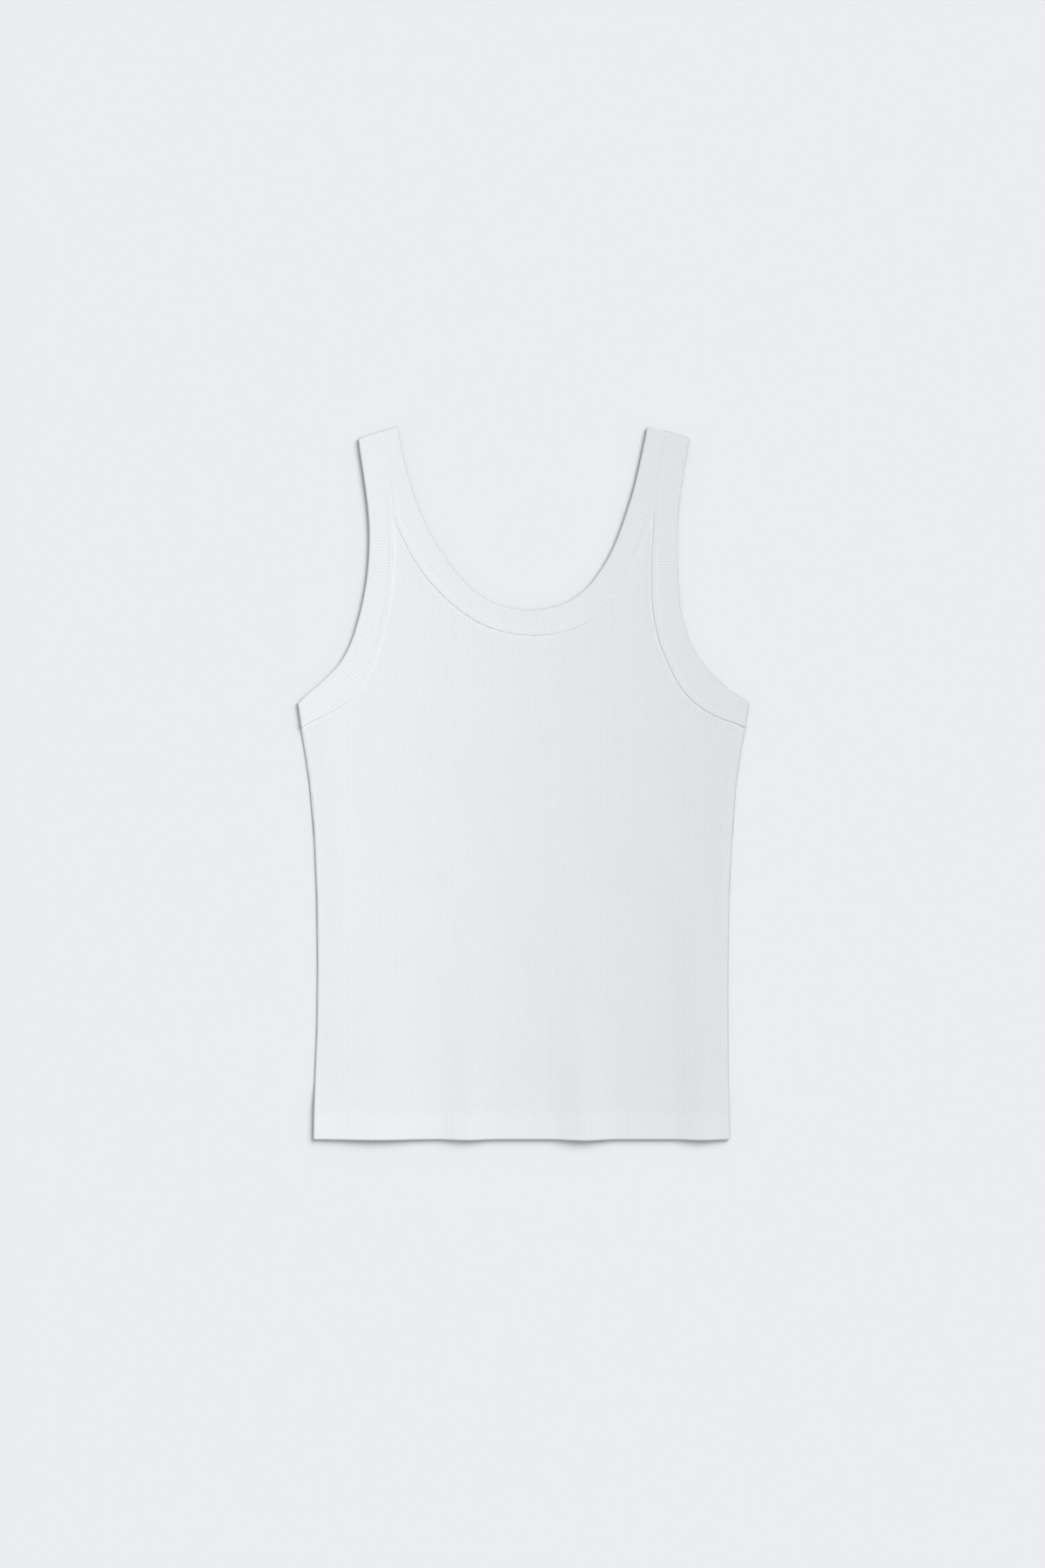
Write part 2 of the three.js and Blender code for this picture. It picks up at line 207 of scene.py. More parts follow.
# Finish of the knit
MOTTLE = (38, 4)  # scale and detail of the mottling
MOTTLE_FALL = 0.985  # its darker tone, as a share of the cloth's colour
FIBRE = (2600, 2)  # scale and detail of the fibres
PAINTED_SHADE_COLOUR = (0.30, 0.31, 0.34)  # the colour that the painted shade in grooves, between stitches and at folded edges mixes toward
DOUBLE_TONE = (0.003, 0.009)  # how far above the hem's depth its tone ends and over what length, in metres
STITCH_LEAN = 1.1  # how steeply the arms of a V stitch run
BAND_PAINTED_SHADE = 0.65  # painted shade in the bands' grooves, as a share of the panels'
STITCH_PAINTED_SHADE = 0.35  # painted shade between the stitches' loops, as a share of the grooves'
STITCH_BUMP = (0.35, 0.00014)  # strength, and distance in metres
KNIT_FINISH = (
    ("Roughness", 0.88),
    ("Specular IOR Level", 0.2),
    ("Sheen Weight", 0.12),
    ("Sheen Roughness", 0.5),
)
THREAD_COLOUR = (0.82, 0.828, 0.85)
PLAIN_FALL = 0.997  # the darker tone of the table and the thread, as a share of their colour

# Stage, in metres and degrees
TABLE_REACH = 20.0
TABLE_LEVEL = -0.1 * MM
CAMERA_ASIDE = (-0.84 * MM, -0.22 * MM)
CAMERA_FAR = 100
LIT_CLOTH = "lit_cloth"
ABOVE = (0, 0, 1)
TABLE_KEY_WAY = (0.5, 0.54, 0.67)
CLOTH_KEY_WAY = (0.3, 0.34, 1)
SPOT_PLACE = (0.45, 0.45, 3.4)
SPOT_TARGET = (-1.6, 0.0, 0.0)
SPOT_CONE = 56
SPOT_RIM = 0.4  # soft share of its cone
SPOT_SIZE = 0.3


# Curves in plan


def smooth(share):
    """Eases from 0 to 1."""
    share = np.clip(share, 0.0, 1.0)
    return share * share * (3 - 2 * share)


def spline(points, steps=24):
    """A smooth curve through the points, as a close polyline."""
    points = np.asarray(points, float)
    padded = np.concatenate([points[:1], points, points[-1:]])
    share = np.linspace(0, 1, steps, endpoint=False)[:, None]
    spans = []
    for before, start, end, after in zip(padded, padded[1:], padded[2:], padded[3:]):
        leave, arrive = (end - before) / 2, (after - start) / 2
        bend = 2 * start - 2 * end + leave + arrive
        turn = 3 * end - 3 * start - 2 * leave - arrive
        spans.append(bend * share**3 + turn * share**2 + leave * share + start)
    return np.concatenate([*spans, points[-1:]])


def side_points(rows, sign):
    """A table's rows as points on one side: -1 is left, 1 is right."""
    column = 1 if sign < 0 else 2
    return [(sign * row[column], row[0]) for row in rows]


def ease_rows(rows, at):
    """A width table read at shares, eased from row to row."""
    places, values = np.array(rows, float).T
    reached = np.clip(np.searchsorted(places, at), 1, len(places) - 1)
    low, high = places[reached - 1], places[reached]
    return values[reached - 1] + (values[reached] - values[reached - 1]) * smooth((at - low) / (high - low))


def unit(vector):
    """A vector, or each row of an array, at length 1."""
    vector = np.asarray(vector, float)
    return vector / np.linalg.norm(vector, axis=-1, keepdims=True)


def half_width(x, up):
    """Distance from the middle line to the side seam, on x's side."""
    left, right = (spline(side_points(SIDE_SEAM, sign)) for sign in (-1, 1))
    at_left = np.interp(up, left[:, 1], -left[:, 0])
    at_right = np.interp(up, right[:, 1], right[:, 0])
    return np.where(x < 0, at_left, at_right)


class Band:
    """A band's lie in plan, from its start at a strap's top to its end."""

    def __init__(self, edge_points, widths, seam_sits, seam_side, start, end):
        self.edge = spline(edge_points, steps=40)
        steps = np.linalg.norm(np.diff(self.edge, axis=0), axis=1)
        self.along = np.concatenate([[0], np.cumsum(steps)])
        self.length = self.along[-1]
        self.widths, self.seam_sits, self.seam_side = widths, seam_sits, seam_side
        self.start_line, self.start_out = start
        self.end_line, self.end_out = end

    def at(self, share):
        """Free-edge points, seam points, ways across and widths at shares of the free edge's length."""
        place = share * self.length
        free = np.stack([np.interp(place, self.along, self.edge[:, k]) for k in (0, 1)], axis=-1)
        slope = np.gradient(self.edge, self.along, axis=0)
        tangent = np.stack([np.interp(place, self.along, slope[:, k]) for k in (0, 1)], axis=-1)
        across = unit(np.stack([-tangent[:, 1], tangent[:, 0]], axis=-1)) * self.seam_side
        to_start, to_end = place[:, None], (self.length - place)[:, None]
        across = across + (self.start_line - across) * smooth(1 - to_start / END_TURN)
        across = across + (self.end_line - across) * smooth(1 - to_end / END_TURN)
        across = unit(across)
        free = free - self.start_out * FOLD_MIDDLE * np.clip(1 - to_start / END_EASE, 0, 1)
        free = free - self.end_out * FOLD_MIDDLE * np.clip(1 - to_end / END_EASE, 0, 1)
        width = ease_rows(self.widths, share)
        return free, free + across * width[:, None], across, width


def strap_top(sign):
    """The line of a strap's top toward the middle of the garment, and the way that the top faces."""
    return unit((-sign, STRAP_TOP_FALL)), unit((sign * STRAP_TOP_FALL, 1))


def underarm(sign):
    """The line of the underarm from the armhole's edge to the side seam, and the way that it faces."""
    tip, seam = np.array(side_points(ARMHOLE_EDGE, sign)[-1]), np.array(side_points(SIDE_SEAM, sign)[-1])
    line = unit(seam - tip)
    return line, np.array((-line[1], line[0])) * sign


def armhole_band(sign):
    """The armhole's band on one side, from the strap's top to the underarm."""
    edge = side_points(ARMHOLE_EDGE, sign)
    seam_sits = LEFT_SEAM_SITS if sign < 0 else RIGHT_SEAM_SITS
    return Band(edge, ARMHOLE_BAND_WIDTH, seam_sits, -sign, strap_top(sign), underarm(sign))


def neck_band():
    """The band round the neck, from the left strap's top to the right one's."""
    left, right = side_points(NECK_EDGE, -1), side_points(NECK_EDGE, 1)
    (left_line, left_out), (right_line, right_out) = strap_top(-1), strap_top(1)
    points = [*left, NECK_LOWEST, *reversed(right)]
    return Band(points, NECK_BAND_WIDTH, NECK_SEAM_SITS, -1, (-left_line, left_out), (-right_line, right_out))


BANDS = {"left": armhole_band(-1), "right": armhole_band(1), "neck": neck_band()}
SEAM_SHARES = np.linspace(0, 1, 400)


def seam_line(band, tuck=0.0):
    """A band's seam as a polyline, moved under the band by tuck."""
    _, seam, across, _ = band.at(SEAM_SHARES)
    return seam - across * tuck


def ray_reach(points, ways, line):
    """How far from each point, along its way, a polyline is first met."""
    start, span = line[:-1][None], np.diff(line, axis=0)[None]
    points, ways = points[:, None], ways[:, None]
    cross = ways[..., 0] * span[..., 1] - ways[..., 1] * span[..., 0]
    cross = np.where(np.abs(cross) < PARALLEL, PARALLEL, cross)
    offset = start - points
    reach = (offset[..., 0] * span[..., 1] - offset[..., 1] * span[..., 0]) / cross
    share = (offset[..., 0] * ways[..., 1] - offset[..., 1] * ways[..., 0]) / cross
    met = (reach > 0) & (share >= 0) & (share <= 1)
    return np.where(met, reach, np.inf).min(axis=1)


def nearest_seam(points, bands):
    """How far points are from the nearest band seam, how far along it they lie and how deep it sits there."""
    best, place, sits = np.full(len(points), np.inf), np.zeros(len(points)), np.ones(len(points))
    for band in bands:
        line = seam_line(band)
        depth = ease_rows(band.seam_sits, SEAM_SHARES)[::2]
        along = np.concatenate([[0], np.cumsum(np.linalg.norm(np.diff(line, axis=0), axis=1))])
        for first in range(0, len(points), POINTS_AT_ONCE):
            part = slice(first, first + POINTS_AT_ONCE)
            away = np.linalg.norm(points[part, None] - line[None, ::2], axis=2)
            near = away.argmin(axis=1)
            found = away[np.arange(len(near)), near]
            closer = found < best[part]
            best[part] = np.where(closer, found, best[part])
            place[part] = np.where(closer, along[::2][near], place[part])
            sits[part] = np.where(closer, depth[near], sits[part])
    return best, place, sits


# Meshes


def new_piece(name, points, faces, cloth_uv, edge, material, slot):
    """An object of smooth faces with the cloth's own coordinates, in metres, as its UV map, and the nearness
    of each point to a folded edge as its attribute edge, which weights the painted edge shade."""
    mesh = bpy.data.meshes.new(name)
    mesh.from_pydata([tuple(p) for p in points], [], faces)
    mesh.validate()
    uv = mesh.uv_layers.new(name="cloth")
    corner = np.zeros(len(mesh.loops), np.int32)
    mesh.loops.foreach_get("vertex_index", corner)
    uv.data.foreach_set("uv", np.asarray(cloth_uv, np.float32)[corner].ravel())
    mesh.attributes.new("edge", "FLOAT", "POINT").data.foreach_set("value", np.asarray(edge, np.float32))
    mesh.shade_smooth()
    mesh.materials.append(material)
    piece = bpy.data.objects.new(name, mesh)
    bpy.context.scene.collection.objects.link(piece)
    bpy.data.collections[LIT_CLOTH].objects.link(piece)
    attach(piece, "root")
    return piece


def to_frame(points):
    """Points in millimetres, measured up from the hem, in the frame's metres."""
    return np.asarray(points) * MM + np.array((0, HEM_Y, 0))


def edge_nearness(distance):
    """Weight of the painted shade at a folded edge: 1 at the edge, falling to 0 at the painted shade's reach.
    """
    return np.clip(1 - distance / PAINTED_EDGE_SHADE_REACH, 0, 1) ** 2


def rib_shape(phase):
    """A rib's relief from 0 in the groove to 1 on its back, for a phase that counts ribs."""
    return 0.5 - 0.5 * np.cos(2 * np.pi * phase)


# Panels


def fold_lift(x, up):
    """How far the folds lift the back panel."""
    lift = np.zeros(np.broadcast(x, up).shape)
    for place, height, half, run, lean in FOLDS:
        along = np.clip(up / run, 0, 1)
        offset = np.abs(x - place - lean * along) / half
        lift = lift + height * (1 - smooth(along)) * (1 - smooth(offset))
    return lift


def unevenness(x, up):
    """Slow waves of the lying cloth."""
    total = np.zeros(np.broadcast(x, up).shape)
    for depth, across, along, phase in UNEVEN:
        total = total + depth * np.sin(2 * np.pi * (x / across + up / along) + phase)
    return total


def back_face(x, up, hem_depth):
    """Height of the back panel's outer face, without its ribs."""
    over_hem = 1 - smooth((up - hem_depth) / HEM_SLOPE)
    body_start, body_end = hem_depth + HEM_SLOPE, SIDE_SEAM[-1][0]
    rise = np.clip((up - body_start) / (body_end - body_start), 0, 1)
    half = half_width(x, up)
    sag = SAG * np.sin(np.pi * rise) * np.cos(np.pi / 2 * np.clip(np.abs(x) / half, 0, 1))
    beside = half - np.abs(x)
    drop = SIDE_DROP * (1 - smooth(beside / np.where(x < 0, *SIDE_DROP_REACH)))
    body = SEAM_FACE - sag - drop + unevenness(x, up) * np.sin(np.pi * rise)
    return body + (HEM_FACE - body) * over_hem + fold_lift(x, up)


def front_face(x, up, hem_depth):
    """Height of the front panel's outer face, which rests on its ribs."""
    return np.zeros(np.broadcast(x, up).shape)


def edge_roll(x, up):
    """How far a panel's outer face rolls in toward its inner one at the side seams."""
    beside = half_width(x, up) - np.abs(x)
    return EDGE_FALL * (1 - np.sqrt(1 - np.clip(1 - beside / EDGE_ROUND, 0, 1) ** 2))


# Heights of a panel's rows: its outer face, then its inner one
PANEL_ROWS = np.concatenate(
    [
        [1.6, 2.6, 4, 7, 11, 15, 18.5, 20, 21, 22, 23, 24.2, 25.6, 28, 32, 37, 43, 49],
        np.arange(56, 328, 7.0),
        np.arange(328, 352, 1.6),
        np.arange(352, 392, 3.2),
        np.arange(392, 514, 5.0),
    ]
)
INSIDE_ROWS = np.concatenate(
    [
        [25.0, 30, 49, 90, 142, 195, 240, 285, 315, 331],
        np.arange(334, 352, 4.0),
        [356, 364, 374, 386, 402, 424, 449, 476, 503],
    ]
)


def panel_limits(tuck):
    """The panels' side limits by height and their neck limit by x, as polylines."""
    limits = []
    for sign, name in ((-1, "left"), (1, "right")):
        side = spline(side_points(SIDE_SEAM, sign))
        seam = seam_line(BANDS[name], tuck)[::-1]
        seam = seam[seam[:, 1] > side[-1, 1] + SIDE_TOP_GAP]
        rising = np.concatenate([[True], np.diff(np.maximum.accumulate(seam[:, 1])) > 0])
        limits.append(np.concatenate([side, seam[rising]]))
    neck = seam_line(BANDS["neck"], tuck)
    keep = np.concatenate([[True], np.diff(np.maximum.accumulate(neck[:, 0])) > 0])
    return (*limits, neck[keep])


def lay_rows(x, ups, swing, limits):
    """Grid points of a panel in plan: rows at ups over columns at x, drawn in to the panel's outline."""
    left, right, neck = limits
    up = np.repeat(np.asarray(ups, float)[:, None], len(x), axis=1)
    at = np.repeat(x[None], len(ups), axis=0)
    low = np.interp(up[:, 0], left[:, 1], left[:, 0])[:, None]
    high = np.interp(up[:, 0], right[:, 1], right[:, 0])[:, None]
    corner = CORNER * (1 - np.sqrt(1 - np.clip(1 - up / CORNER, 0, 1) ** 2))
    at = np.clip(at, low + corner, high - corner)
    up = np.minimum(up, np.interp(at, neck[:, 0], neck[:, 1]))
    return at, up + swing(at, up)


def strip_faces(rows, columns, closed):
    """Quads between the rows of a grid; a closed grid joins its last row to its first."""
    index = np.arange(rows * columns).reshape(rows, columns)
    above = np.roll(index, -1, axis=0) if closed else index[1:]
    below = index if closed else index[:-1]
    quads = np.stack([below[:, :-1], below[:, 1:], above[:, 1:], above[:, :-1]], axis=-1)
    return quads.reshape(-1, 4)


def zip_rim(first, first_up, second, second_up):
    """Triangles between two chains of points that climb side by side."""
    faces, i, k = [], 0, 0
    while i < len(first) - 1 or k < len(second) - 1:
        step_first = k == len(second) - 1 or (i < len(first) - 1 and first_up[i + 1] <= second_up[k + 1])
        if step_first:
            faces.append((first[i], first[i + 1], second[k]))
            i += 1
        else:
            faces.append((first[i], second[k + 1], second[k]))
            k += 1
    return faces


def panel_mesh(settings, face, toward):
    """A panel as one closed wall: its ribbed outer face, the fold of its hem, the layer turned up inside and
    its plain inner face. toward is 1 if the outer face looks up and -1 if it lies on the table."""
    pitch, relief = settings.rib_pitch / MM, settings.rib_height / MM
    cloth, hem = settings.cloth_thickness / MM, settings.hem_depth / MM
    count = int(MAX_REACH / pitch) + 1
    x = np.arange(-count * RIB_STEPS, count * RIB_STEPS + 1) * pitch / RIB_STEPS
    limits = panel_limits(PANEL_TUCK)

    def swing(at, up):
        """How far the hem's edge swings out at the folds."""
        if toward < 0:
            return 0 * at
        return -HEM_SWING * fold_lift(at, 0 * at) * np.clip(1 - up / hem, 0, 1)

    def lay(at, up):
        """Level of the outer face between the ribs, and what is left of the ribs beside a seam."""
        flat = np.stack([at.ravel(), up.ravel()], axis=1)
        away, along, sits = (part.reshape(at.shape) for part in nearest_seam(flat, BANDS.values()))
        climb = SEAM_RISE * (1 - smooth(away / SEAM_RISE_REACH))
        depth, wave, reach = PUCKER
        ripple = depth * np.sin(2 * np.pi * along / wave) * (1 - smooth(away / reach))
        dip_depth, dip_width = SEAM_DIP
        dip = dip_depth * sits * (1 - smooth(away / dip_width))
        dent_depth, dent_width = SEWN_DENT
        sewn = dent_depth * np.exp(-(((up - hem + STITCH_INSET) / dent_width) ** 2))
        level = face(at, up, hem) + (climb + ripple - dip if toward > 0 else relief + dip) - toward * sewn
        return level, smooth(away / dip_width)

    outer_x, outer_up = lay_rows(x, PANEL_ROWS, swing, limits)
    level, fade = lay(outer_x, outer_up)
    proud = relief * rib_shape(outer_x / pitch) * fade - edge_roll(outer_x, outer_up)
    outer_z = level + toward * proud
    radius = cloth  # of the hem's fold
    turn = np.linspace(0, np.pi, HEM_FOLD_STEPS)[1:, None]
    fold_x = lay_rows(x, PANEL_ROWS[0] - radius * np.sin(turn[:, 0]), swing, limits)[0]
    fold_up = outer_up[:1] - radius * np.sin(turn)
    fold_z = level[:1] - toward * radius
    fold_z = fold_z + toward * (radius + proud[:1] * np.clip(np.cos(turn), 0, 1)) * np.cos(turn)
    turned_x, turned_up = lay_rows(x, [TURNED_ROW, hem], swing, limits)
    turned_z = lay(turned_x, turned_up)[0] - toward * 2 * cloth
    inner_x, inner_up = lay_rows(x, INSIDE_ROWS, swing, limits)
    inner_z = lay(inner_x, inner_up)[0] - toward * cloth
    order = (
        (inner_x[::-1], inner_up[::-1], inner_z[::-1]),
        (turned_x[::-1], turned_up[::-1], turned_z[::-1]),
        (fold_x[::-1], fold_up[::-1], fold_z[::-1]),
        (outer_x, outer_up, outer_z),
    )
    px, py, pz = (np.concatenate([part[k] for part in order]) for k in range(3))
    rows, columns = px.shape
    faces = strip_faces(rows, columns, closed=True)
    if toward < 0:
        faces = faces[:, ::-1]
    faces = [tuple(int(i) for i in quad) for quad in faces]
    first_outer = len(inner_x) + len(turned_x) + len(fold_x)
    for column, flip in ((0, toward < 0), (columns - 1, toward > 0)):
        chain = np.arange(rows) * columns + column
        outer_chain = chain[first_outer:]
        inner_chain = chain[:first_outer][::-1]
        outer_up_here = py[first_outer:, column]
        inner_up_here = np.maximum.accumulate(py[:first_outer, column][::-1])
        rim = zip_rim(outer_chain, outer_up_here, inner_chain, inner_up_here)
        faces += [tuple(int(i) for i in (f[::-1] if flip else f)) for f in rim]
    points = np.stack([px.ravel(), py.ravel(), pz.ravel()], axis=1)
    # Weight of the painted edge shade along the side seams, below the underarm
    beside = half_width(px, py) - np.abs(px)
    edge = np.where(py < UNDERARM_UP, edge_nearness(beside), 0)
    return to_frame(points), faces, points[:, :2] * MM, edge.ravel()


def merge_points(piece):
    """Joins the points that were drawn in to the outline, and drops the faces that this closes up."""
    work = bmesh.new()
    work.from_mesh(piece.data)
    bmesh.ops.remove_doubles(work, verts=work.verts, dist=MERGE_DISTANCE)
    bmesh.ops.dissolve_degenerate(work, edges=work.edges, dist=TINY_EDGE)
    work.to_mesh(piece.data)
    work.free()
    piece.data.shade_smooth()


def hem_stitching(settings, face, toward):
    """Two rows of short stitches along a panel's hem, each a thin capsule pressed into the cloth."""
    hem, relief = settings.hem_depth / MM, settings.rib_height / MM
    spacing, shows, radius = STITCH
    on_back, on_front = STITCH_ON_RIBS
    lies_on = relief * (on_back if toward > 0 else on_front)
    around = np.linspace(0, 2 * np.pi, STITCH_SIDES, endpoint=False)
    reach = spacing * shows / 2
    points, faces = [], []
    for row in STITCH_ROWS:
        up = hem - STITCH_INSET + row
        half = float(half_width(0.0, up)) - STITCH_MARGIN
        for middle in np.arange(-half, half, spacing):
            first = len(points)
            level = float(face(np.array(middle), up, hem)) + lies_on
            for place, size in STITCH_SECTIONS:
                for angle in around:
                    side, rise = radius * size * np.cos(angle), radius * size * np.sin(angle)
                    height = level + rise + toward * (STITCH_PROUD * radius * size - STITCH_SUNK)
                    points.append((middle + reach * place, up + side, max(height, STITCH_LOWEST)))
            for ring in range(first, len(points) - STITCH_SIDES, STITCH_SIDES):
                for k in range(STITCH_SIDES):
                    a, b = ring + k, ring + (k + 1) % STITCH_SIDES
                    faces.append((a, b, b + STITCH_SIDES, a + STITCH_SIDES))
            faces.append(tuple(range(first, first + STITCH_SIDES)))
            faces.append(tuple(range(len(points) - 1, len(points) - 1 - STITCH_SIDES, -1)))
    points = np.array(points)
    return to_frame(points), faces, points[:, :2] * MM, np.zeros(len(points))


# Bands


def ring_places(band, steps):
    """Shares, turns and facing ways of the stations round a band's ring, and their distance along it."""
    turn_length = math.pi * FOLD_MIDDLE
    total = 2 * (band.length + turn_length)
    along = np.linspace(0, total, steps, endpoint=False)
    ends = np.cumsum([band.length, turn_length, band.length, turn_length])
    stretch = np.searchsorted(ends, along, side="right")
    into = along - np.concatenate([[0], ends])[stretch]
    there, turning = into / band.length, into / turn_length * np.pi
    share = np.choose(stretch, [there, np.ones(steps), 1 - there, np.zeros(steps)])
    turn = np.choose(stretch, [np.zeros(steps), turning, np.full(steps, np.pi), np.pi - turning])
    out = np.where((stretch <= 1)[:, None], band.end_out, band.start_out)
    return share, turn, out, along, total


def band_mesh(settings, band, limit_lines):
    """A band as a closed ring of sections, folded double, with ribs across it on both of its outer runs."""
    pitch, relief = settings.band_rib_pitch / MM, settings.band_rib_height / MM
    whole = 2 * (band.length + math.pi * FOLD_MIDDLE)
    ribs = round(whole / pitch)
    share, turn, out, along, total = ring_places(band, ribs * BAND_RIB_STEPS)
    free, seam, across, width = band.at(share)
    for line in limit_lines:
        width = np.minimum(width, ray_reach(free, across, line) + NECK_TUCK)
    rib = rib_shape(along / total * ribs)
    radius = (BAND_OUTER - BAND_INNER) / 2
    middle = (BAND_OUTER + BAND_INNER) / 2
    height, allowance_width, slope = ALLOWANCE
    groove_depth, groove_width = SEAM_GROOVE
    start_fade, end_fade = SEAM_FADES
    low = smooth((end_fade - seam[:, 1]) / (end_fade - start_fade))
    sunk = low * ease_rows(band.seam_sits, share)

    def outer_level(place):
        """Level of the outer face at places across the band, from its free edge."""
        inward = width - place
        swell = height * low * smooth((allowance_width + slope / 2 - inward) / slope)
        groove = groove_depth * sunk * np.clip(1 - inward / groove_width, 0, 1) ** 2
        fade = smooth(inward / groove_width)
        return BAND_OUTER + swell - groove - relief * (1 - rib * fade)

    half_way = (width - FROM_SEAM[-1] + FROM_FREE[0]) / 2
    places = [width - gap for gap in FROM_SEAM]
    places += [half_way, *(np.full_like(width, gap) for gap in FROM_FREE)]
    levels = [outer_level(place) for place in places]
    for angle in np.radians(EDGE_ANGLES):
        shrink = relief * (1 - rib) * np.clip(math.cos(angle) + math.sin(angle), 0, 1)
        reach = SHOULDER if angle > 0 else radius
        places.append(reach - (reach - shrink) * math.cos(angle))
        levels.append(middle + (radius * math.sin(angle)) - shrink * max(0.0, math.sin(angle)))
    places += [width / 2, width]
    levels += [np.full_like(width, BAND_INNER)] * 2
    place, level = np.stack(places, axis=1), np.stack(levels, axis=1)
    facing = np.stack([out[:, 0] * np.sin(turn), out[:, 1] * np.sin(turn), np.cos(turn)], axis=1)
    plan = free[:, None] + across[:, None] * place[..., None]
    points = np.concatenate([plan, np.full((*place.shape, 1), FOLD_MIDDLE)], axis=2)
    points = points + facing[:, None] * level[..., None]
    stations, corners = place.shape
    here = np.arange(stations * corners).reshape(stations, corners)
    after = np.roll(here, -1, axis=0)
    quads = np.stack([here, np.roll(here, -1, axis=1), np.roll(after, -1, axis=1), after], axis=-1)
    quads = quads.reshape(-1, 4)
    if band.seam_side < 0:
        quads = quads[:, ::-1]
    over = along / total * ribs * pitch
    uv = np.stack([np.repeat(over[:, None], corners, axis=1), place], axis=-1).reshape(-1, 2) * MM
    faces = [tuple(int(i) for i in quad) for quad in quads]
    # Weight of the painted edge shade at the free edge and where the band turns over at its ends
    edge = np.maximum(edge_nearness(place), TOP_EDGE_PAINTED_SHADE * np.sin(turn)[:, None] ** 2)
    return to_frame(points.reshape(-1, 3)), faces, uv, edge.ravel()


# Looks


def mixed(tree, factor, first, second):
    """A colour between two, of which each is a colour or another node's socket."""
    mix = tree.nodes.new("ShaderNodeMix")
    mix.data_type = "RGBA"
    tree.links.new(factor, mix.inputs["Factor"])
    for name, colour in (("A", first), ("B", second)):
        if isinstance(colour, bpy.types.NodeSocket):
            tree.links.new(colour, mix.inputs[name])
        else:
            mix.inputs[name].default_value = (*colour, 1)
    return mix.outputs["Result"]


def darker(colour, share):
    """A colour at a share of its strength."""
    return tuple(part * share for part in colour)


def knit_material(name, settings, pitch, ribs_across):
    """Matte rib knit: a pale cloth with faint mottling, with painted shade between its ribs and near its
    folded edges, and each rib's column of V stitches as faint painted shade and bump."""
    material = bpy.data.materials.new(name)
    material.use_nodes = True
    tree = material.node_tree
    tree.nodes.clear()
    make, link = tree.nodes.new, tree.links.new

    def math_node(operation, *values):
        """The result of a calculation with numbers and sockets."""
        node = make("ShaderNodeMath")
        node.operation = operation
        for socket, value in zip(node.inputs, values):
            if isinstance(value, (int, float)):
                socket.default_value = value
            else:
                link(value, socket)
        return node.outputs[0]

    def noise(size):
        """Noise over the cloth's own coordinates."""
        node = make("ShaderNodeTexNoise")
        node.inputs["Scale"].default_value, node.inputs["Detail"].default_value = size
        link(cloth_map.outputs["UV"], node.inputs["Vector"])
        return node.outputs["Fac"]

    shader = make("ShaderNodeBsdfPrincipled")
    output = make("ShaderNodeOutputMaterial")
    link(shader.outputs["BSDF"], output.inputs["Surface"])
    cloth_map = make("ShaderNodeUVMap")
    cloth_map.uv_map = "cloth"
    split = make("ShaderNodeSeparateXYZ")
    link(cloth_map.outputs["UV"], split.inputs[0])
    over, along = split.outputs["X"], split.outputs["Y"]

    cloth = settings.cloth_colour
    colour = mixed(tree, noise(MOTTLE), darker(cloth, MOTTLE_FALL), cloth)
    if not ribs_across:
        above, fade = DOUBLE_TONE
        over_hem = math_node("SUBTRACT", along, settings.hem_depth + above)
        below = math_node("MULTIPLY", over_hem, -1 / fade)
        double = math_node("MINIMUM", math_node("MAXIMUM", below, 0.0), 1.0)
        colour = mixed(tree, double, colour, settings.double_colour)

    rib_turn = math_node("DIVIDE", over, pitch)
    wave = math_node("COSINE", math_node("MULTIPLY", rib_turn, 2 * math.pi))
    rib = math_node("MULTIPLY", math_node("SUBTRACT", 1.0, wave), 0.5)
    lean = math_node("ABSOLUTE", math_node("SUBTRACT", math_node("FRACT", rib_turn), 0.5))
    stitches = math_node("DIVIDE", along, settings.stitch_height)
    stitch = math_node("ADD", stitches, math_node("MULTIPLY", lean, STITCH_LEAN))
    loop = math_node("SINE", math_node("MULTIPLY", stitch, 2 * math.pi))

    # Painted shade: the knit darkens between its ribs, between its stitches' loops and near folded edges
    shade = settings.groove_painted_shade * (BAND_PAINTED_SHADE if ribs_across else 1.0)
    groove_painted_shade = math_node("MULTIPLY", math_node("SUBTRACT", 1.0, rib), shade)
    stitch_painted_shade = math_node("MULTIPLY", math_node("SUBTRACT", 1.0, loop), shade * STITCH_PAINTED_SHADE)
    # Painted shade near folded edges, weighted by the attribute edge
    near_edge = make("ShaderNodeAttribute")
    near_edge.attribute_name = "edge"
    edge_painted_shade = math_node("MULTIPLY", near_edge.outputs["Fac"], settings.edge_painted_shade)
    painted_shades = math_node("ADD", math_node("ADD", groove_painted_shade, stitch_painted_shade), edge_painted_shade)
    link(mixed(tree, painted_shades, colour, PAINTED_SHADE_COLOUR), shader.inputs["Base Color"])

    bump = make("ShaderNodeBump")
    bump.inputs["Strength"].default_value, bump.inputs["Distance"].default_value = STITCH_BUMP
    link(math_node("ADD", math_node("MULTIPLY", loop, 0.5), noise(FIBRE)), bump.inputs["Height"])
    link(bump.outputs["Normal"], shader.inputs["Normal"])
    for finish, value in KNIT_FINISH:
        shader.inputs[finish].default_value = value
    return material


